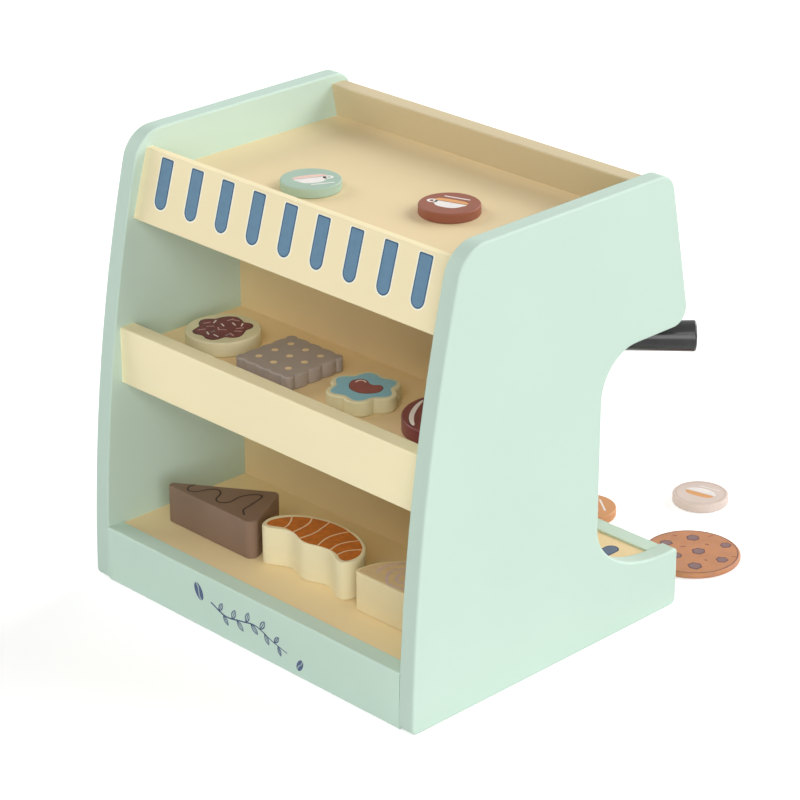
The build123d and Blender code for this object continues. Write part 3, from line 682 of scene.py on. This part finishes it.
for token, colour, slot, heading, bowl_shapes, bowl_ink, drink, drink_ink in (
    (
        "token_mint", (0.385, 0.520, 0.425), "token_mint_paint", 243.0,
        [cup_bowl, right_handle, saucer], cup_white_ink, cup_drink, foam_pink_ink,
    ),
    (
        "token_brown", (0.285, 0.098, 0.060), "token_brown_paint", 199.0,
        [cup_bowl, left_handle, steam], cup_white_ink, cup_drink, coffee_orange_ink,
    ),
    (
        "token_orange", (0.650, 0.315, 0.142), "token_orange_paint", 144.0,
        [cup_bowl, left_handle, steam], cup_white_ink, cup_drink, foam_pink_ink,
    ),
    (
        "token_white", (0.710, 0.590, 0.530), "token_pink_paint", 193.0,
        [shallow_bowl], coffee_orange_ink, froth, cup_white_ink,
    ),
):
    finish(token, sprayed_paint(f"{token}_dip", colour, drift=0.04, cloud=70.0, relief=0.00004))
    top = top_of(token, heading)
    printed(f"{token}_cup_print", bowl_shapes, top, bowl_ink, token)
    printed(f"{token}_drink_print", [drink], top, drink_ink, token, lift=0.10)
thin_steam = stroke([(-5.0, 9.4), (9.5, 9.4)], 0.9)
printed("token_white_steam_print", [thin_steam], top, cup_white_ink, token)
token_rim = tuple(oval(0, 0, reach, reach, count=64) for reach in (16.9, 16.4))
printed("token_white_rim_print", [token_rim], top_of("token_white"), rim_cream_ink, token)


# ---------------------------------------------------------------------------------------------------
# Jam biscuit
# A wooden disc sawn from board and painted cream. A splash of dark red jam is printed on top, with
# sugar strands over it.
# ---------------------------------------------------------------------------------------------------
biscuit_cream = sprayed_paint(
    "biscuit_cream_paint", (0.79, 0.73, 0.48), drift=0.05, cloud=60.0, relief=0.00005
)
finish("cookie_jam", biscuit_cream)
jam_ink = printing_ink("jam_red_ink", (0.195, 0.044, 0.050), drift=0.22, dullness=0.34)
strand_white_ink = printing_ink("strand_white_ink", (0.92, 0.80, 0.76))
strand_rose_ink = printing_ink("strand_rose_ink", (0.66, 0.38, 0.38))
strand_grey_ink = printing_ink("strand_grey_ink", (0.32, 0.32, 0.38))
jam_top = top_of("cookie_jam")
jam_line_ink = printing_ink("jam_line_ink", (0.050, 0.012, 0.014), drift=0.10)
jam_edge = [
    (10.3, 16.5), (11.9, 12.3), (13.2, 8.4), (16.8, 5.7), (19.5, 1.5), (18.6, -2.7), (14.9, -6.9),
    (14.0, -11.3), (11.3, -16.0), (6.9, -18.3), (1.4, -17.2), (-2.3, -15.8), (-6.4, -17.5), (-10.6, -16.1),
    (-12.9, -12.4),
    (-12.9, -8.0), (-16.2, -2.6), (-17.7, 2.3), (-15.6, 6.4), (-11.9, 9.0), (-11.4, 13.4), (-9.4, 17.4),
    (-5.1, 18.6), (-0.8, 17.3), (2.3, 17.6), (6.2, 18.6),
]
jam_line = closed_curve(jam_edge, 5)
printed("jam_line_print", [jam_line], jam_top, jam_line_ink, "cookie_jam")
jam = [point * 0.965 for point in jam_line]
printed("jam_print", [jam], jam_top, jam_ink, "cookie_jam", lift=0.10)
strands = {"white": [], "rose": [], "grey": []}
for a, b, turn, tint in (
    (11.6, -3.4, 120, "white"), (4.0, -3.2, 158, "white"), (0.0, -9.2, 162, "white"),
    (-4.4, -12.1, 126, "white"), (-5.9, 11.2, 176, "white"), (0.6, 12.2, 152, "white"),
    (7.9, 3.7, 52, "rose"), (7.7, 11.1, 60, "rose"), (-10.4, -3.3, 39, "rose"), (-1.9, 1.8, 37, "rose"),
    (6.8, -12.1, 85, "rose"), (-7.6, -7.3, 61, "rose"), (1.2, 2.7, 145, "rose"), (-11.4, 2.9, 167, "rose"),
    (13.6, 1.6, 70, "rose"), (3.6, -14.2, 20, "rose"), (-10.1, 5.4, 97, "grey"), (0.4, 8.0, 89, "grey"),
):
    half = 1.3 if tint == "grey" else 2.1
    strands[tint].append(ray(a, b, turn, -half, half, 1.0))
for tint, ink in (("white", strand_white_ink), ("rose", strand_rose_ink), ("grey", strand_grey_ink)):
    printed(f"jam_{tint}_strands_print", strands[tint], jam_top, ink, "cookie_jam", lift=0.14)


# ---------------------------------------------------------------------------------------------------
# Waffle biscuit
# A scallop-edged square sawn from board and painted warm grey all over. Nine cream dots are printed on
# top in rows.
# ---------------------------------------------------------------------------------------------------
waffle_grey = sprayed_paint(
    "waffle_grey_paint", (0.405, 0.345, 0.308), drift=0.06, cloud=50.0, relief=0.00005
)
finish("cookie_waffle", waffle_grey)
dot_ink = printing_ink("waffle_dot_ink", (0.82, 0.65, 0.38))
dot_pitch, dot_reach = 13.4, 2.2
dot_places = [(dot_pitch * row, dot_pitch * column) for row in (-1, 0, 1) for column in (-1, 0, 1)]
waffle_dots = [oval(a, b, dot_reach, dot_reach, count=20) for a, b in dot_places]
printed("waffle_dots_print", waffle_dots, top_of("cookie_waffle"), dot_ink, "cookie_waffle")


# ---------------------------------------------------------------------------------------------------
# Flower biscuit
# Six round petals sawn from board and painted cream, iced in blue to just inside the edge, with a
# red-brown heart and its white glint printed over the icing.
# ---------------------------------------------------------------------------------------------------
finish("cookie_flower", sprayed_paint("flower_cream_paint", (0.76, 0.70, 0.44), drift=0.05, cloud=60.0))
icing_ink = printing_ink("icing_blue_ink", (0.255, 0.530, 0.635), drift=0.04)
heart_ink = printing_ink("heart_red_ink", (0.305, 0.093, 0.088), drift=0.10)
glint_ink = printing_ink("glint_white_ink", (0.94, 0.84, 0.79))
flower_top = top_of("cookie_flower")
petals = 6
petal_turn = radians(5)
icing_reach, icing_wave = 18.7, 2.1
icing = []
for step in range(96):
    angle = 2 * pi * step / 96
    reach = icing_reach + icing_wave * cos(petals * (angle - petal_turn))
    icing.append((reach * cos(angle), reach * sin(angle)))
printed("flower_icing_print", [icing], flower_top, icing_ink, "cookie_flower")
heart_line_ink = printing_ink("heart_line_ink", (0.075, 0.020, 0.018), drift=0.10)
heart_edge = [
    (8.4, 4.2), (11.2, -0.5), (10.9, -4.2), (8.7, -7.4), (4.7, -7.7), (0.4, -5.6), (-2.7, -6.1),
    (-5.6, -8.6), (-10.0, -6.8), (-12.4, -1.9), (-11.4, 2.3), (-8.1, 6.5), (-3.1, 8.7), (3.4, 8.1),
]
heart_line = closed_curve(heart_edge, 6)
heart = [point * 0.955 for point in heart_line]
glint = stroke([(8.2, -1.4), (8.6, -4.2), (6.6, -6.0), (3.8, -5.4)], 0.9)
for print_name, shape, ink, lift in (
    ("flower_heart_line_print", heart_line, heart_line_ink, 0.10),
    ("flower_heart_print", heart, heart_ink, 0.14),
    ("flower_glint_print", glint, glint_ink, 0.18),
):
    printed(print_name, [shape], flower_top, ink, "cookie_flower", lift)


# ---------------------------------------------------------------------------------------------------
# Glazed biscuit
# A larger disc dipped in dark chocolate red, with a curved white glint and a darker line round it
# printed near the rim.
# ---------------------------------------------------------------------------------------------------
glaze = sprayed_paint("glaze_red_paint", (0.225, 0.060, 0.058), drift=0.14, cloud=45.0, dullness=0.36)
finish("cookie_glazed", glaze)
glaze_line_ink = printing_ink("glaze_line_ink", (0.055, 0.018, 0.016))
glazed_top = top_of("cookie_glazed")
glint_edge = [
    (27.4, -0.8), (25.6, 6.2), (21.2, 14.6), (15.8, 21.6), (10.2, 26.4), (5.6, 28.4), (6.2, 26.4),
    (10.6, 22.6), (15.8, 17.0), (20.6, 9.8), (24.1, 3.2), (26.2, -0.8),
]
glint_line = closed_curve(glint_edge, 5)
glint_middle = Vector((17.2, 15.4))
glint_lined = [glint_middle + (point - glint_middle) * 1.05 + Vector((0.15, 0.15)) for point in glint_line]
printed("glaze_line_print", [glint_lined], glazed_top, glaze_line_ink, "cookie_glazed")
printed("glaze_glint_print", [glint_line], glazed_top, glint_ink, "cookie_glazed", lift=0.10)


# ---------------------------------------------------------------------------------------------------
# Chocolate chip biscuit
# The largest and thinnest biscuit, baked tan with a mottled top, printed with chocolate chunks and
# a few crumbs.
# ---------------------------------------------------------------------------------------------------
baked_tan = sprayed_paint(
    "baked_tan_paint", (0.520, 0.235, 0.112), drift=0.10, cloud=90.0, relief=0.00008,
    fleck=((0.50, 0.24, 0.15), 320.0, 0.42),
)
finish("cookie_choc_chip", baked_tan)
chip_ink = printing_ink("chip_brown_ink", (0.235, 0.145, 0.145), drift=0.10)
chip_edge_ink = printing_ink("chip_edge_ink", (0.125, 0.060, 0.065), drift=0.10)
crumb_ink = printing_ink("crumb_ink", (0.34, 0.130, 0.075), drift=0.10)
chip_top = top_of("cookie_choc_chip")
chip_inside = 0.80
chips, chip_edges = [], []
random.seed(7)
for a, b, size in (
    (12.4, -15.9, 5.0), (-9.7, -22.9, 4.2), (-3.0, -3.6, 5.0), (-21.5, -5.0, 4.4), (-14.6, 14.3, 5.2),
    (19.9, 2.3, 4.6), (3.7, 11.5, 4.6), (16.0, 18.5, 4.0),
):
    turn = random.uniform(0, 60)
    hexagon = [
        (
            size * random.uniform(0.86, 1.06) * cos(radians(turn + 60 * corner)),
            size * random.uniform(0.86, 1.06) * sin(radians(turn + 60 * corner)),
        )
        for corner in range(6)
    ]
    chip_edges.append([(a + u, b + v) for u, v in hexagon])
    chips.append([(a + u * chip_inside, b + v * chip_inside) for u, v in hexagon])
printed("chip_edges_print", chip_edges, chip_top, chip_edge_ink, "cookie_choc_chip")
printed("chips_print", chips, chip_top, chip_ink, "cookie_choc_chip", lift=0.10)
crumbs = [
    oval(a, b, length, width, turn, 10)
    for a, b, length, width, turn in (
        (22.9, -9.9, 1.9, 0.9, 20), (5.7, -26.1, 2.2, 0.7, 70), (-0.5, -15.0, 1.5, 1.0, 30),
        (-14.4, 2.8, 1.4, 0.9, 0), (-24.3, -14.1, 2.0, 0.6, 40), (8.7, -1.4, 2.6, 0.8, 55),
        (-4.0, 22.0, 1.6, 0.9, 10), (9.0, 24.0, 1.5, 0.8, 80),
    )
]
chip_rim = tuple(oval(0, 0, reach, reach, count=72) for reach in (30.4, 29.9))
printed("chip_rim_print", [chip_rim], chip_top, chip_edge_ink, "cookie_choc_chip")
printed("crumbs_print", crumbs, chip_top, crumb_ink, "cookie_choc_chip")


# ---------------------------------------------------------------------------------------------------
# Chocolate cake wedge
# A slice sawn from 26 mm stock and painted chocolate brown, with a thin darker line of piping
# wandering over its top.
# ---------------------------------------------------------------------------------------------------
cake_brown = sprayed_paint("cake_brown_paint", (0.258, 0.168, 0.118), drift=0.07, cloud=30.0, relief=0.00005)
finish("cake_wedge", cake_brown)
piping_ink = printing_ink("piping_brown_ink", (0.040, 0.020, 0.014))
wedge_low, wedge_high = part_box("cake_wedge")
wedge_top = top_of("cake_wedge", middle=(wedge_low.x, wedge_high.y))
piping = [
    (66.1, -12.1), (66.3, -7.4), (62.6, -3.9), (57.6, -6.6), (54.1, -14.8), (49.6, -18.0), (44.2, -14.9),
    (40.7, -8.2), (35.5, -6.7), (31.5, -11.6), (32.4, -21.3), (28.9, -29.1), (24.0, -32.1), (21.4, -28.3),
    (18.8, -17.2), (17.0, -10.2), (11.7, -6.1),
]
printed("cake_piping_print", [stroke(piping, 1.15, 6)], wedge_top, piping_ink, "cake_wedge")


# ---------------------------------------------------------------------------------------------------
# Croissant
# A crescent sawn from 26 mm stock in cream, its top printed in seven baked segments with cream lines
# between them.
# ---------------------------------------------------------------------------------------------------
finish("croissant", sprayed_paint("croissant_cream_paint", (0.85, 0.77, 0.51), drift=0.04, cloud=30.0))
crust_ink = printing_ink("crust_orange_ink", (0.560, 0.160, 0.022), drift=0.16)
crust_line_ink = printing_ink("crust_line_ink", (0.84, 0.66, 0.43))
croissant_low, croissant_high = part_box("croissant")
croissant_middle = ((croissant_low.x + croissant_high.x) / 2, croissant_low.y + 0.0170)
croissant_top = top_of("croissant", middle=croissant_middle)
crust = [
    (35.6, 13.6), (36.4, 8.0), (32.0, -1.6), (24.4, -8.4), (16.6, -12.2), (8.7, -14.3), (0.0, -15.0),
    (-8.2, -14.3), (-19.4, -11.2), (-27.2, -7.5), (-32.6, -2.9), (-36.9, 4.0), (-37.4, 10.5), (-35.8, 14.5),
    (-31.6, 14.9), (-26.2, 12.3), (-19.3, 10.9), (-9.5, 12.4), (-3.6, 14.3), (0.0, 14.6), (3.9, 14.3),
    (13.6, 11.0), (22.7, 10.6), (28.3, 13.0), (32.9, 15.0),
]
crust_line = closed_curve(crust, 5)
printed("croissant_crust_print", [crust_line], croissant_top, crust_ink, "croissant")
folds = [
    [(31.2, -3.4), (27.0, 1.5), (23.9, 7.2), (23.1, 11.4)],
    [(20.8, -11.0), (17.2, -5.4), (15.4, 1.2), (14.9, 11.2)],
    [(8.7, -15.0), (6.6, -7.0), (4.6, 3.0), (5.8, 14.4)],
    [(-9.6, -14.9), (-6.4, -6.0), (-6.0, 2.5), (-9.4, 13.0)],
    [(-22.6, -10.6), (-18.8, -3.6), (-17.3, 3.5), (-18.9, 11.4)],
    [(-33.0, -3.4), (-29.0, 1.2), (-26.7, 6.3), (-26.6, 12.8)],
]
folds = [stroke(fold, 1.0, 6) for fold in folds]
printed("croissant_folds_print", folds, croissant_top, crust_line_ink, "croissant", lift=0.10)


# ---------------------------------------------------------------------------------------------------
# Half roll
# Half a rolled cake lying on its cut face's edge, painted cream. Its top is printed a darker tan as painted
# shade, with the filling's spiral printed over it in mauve.
# ---------------------------------------------------------------------------------------------------
finish("roll_half", sprayed_paint("roll_cream_paint", (0.84, 0.715, 0.44), drift=0.04, cloud=30.0))
# Painted shade: the whole half-disc of the top is printed a darker, warmer tan than the cream sides.
top_shade_ink = printing_ink("roll_top_shade_ink", (0.74, 0.55, 0.30), drift=0.06)
filling_ink = printing_ink("filling_mauve_ink", (0.68, 0.51, 0.48), drift=0.06)
roll_low, roll_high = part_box("roll_half")
roll_middle = ((roll_low.x + roll_high.x) / 2, roll_high.y - 0.0033)
roll_top = top_of("roll_half", middle=roll_middle)
top_shade = [(-34.6, 1.4), (34.6, 1.4)]
top_shade_reach = 35.4
for turn in range(1, 180, 3):
    top_shade.append((top_shade_reach * cos(radians(-turn)), top_shade_reach * sin(radians(-turn))))
printed("roll_top_shade_print", [top_shade], roll_top, top_shade_ink, "roll_half")
# The filling winds inward clockwise from just inside the cut face.
spiral_a, spiral_b = 7.0, -14.0
spiral_end, spiral_spread = 4.0, 16.5
spiral_heading, spiral_turn = 25, 1000
spiral = []
for turn in range(0, spiral_turn + 1, 10):
    wobble = 0.35 * sin(radians(5 * turn))
    reach = spiral_end + spiral_spread * (1 - turn / spiral_turn) ** 1.3 + wobble
    angle = radians(spiral_heading - turn)
    spiral.append((spiral_a + reach * cos(angle), spiral_b + reach * sin(angle)))
filling = stroke(spiral, 1.7)
printed("roll_filling_print", [filling], roll_top, filling_ink, "roll_half", lift=0.10)
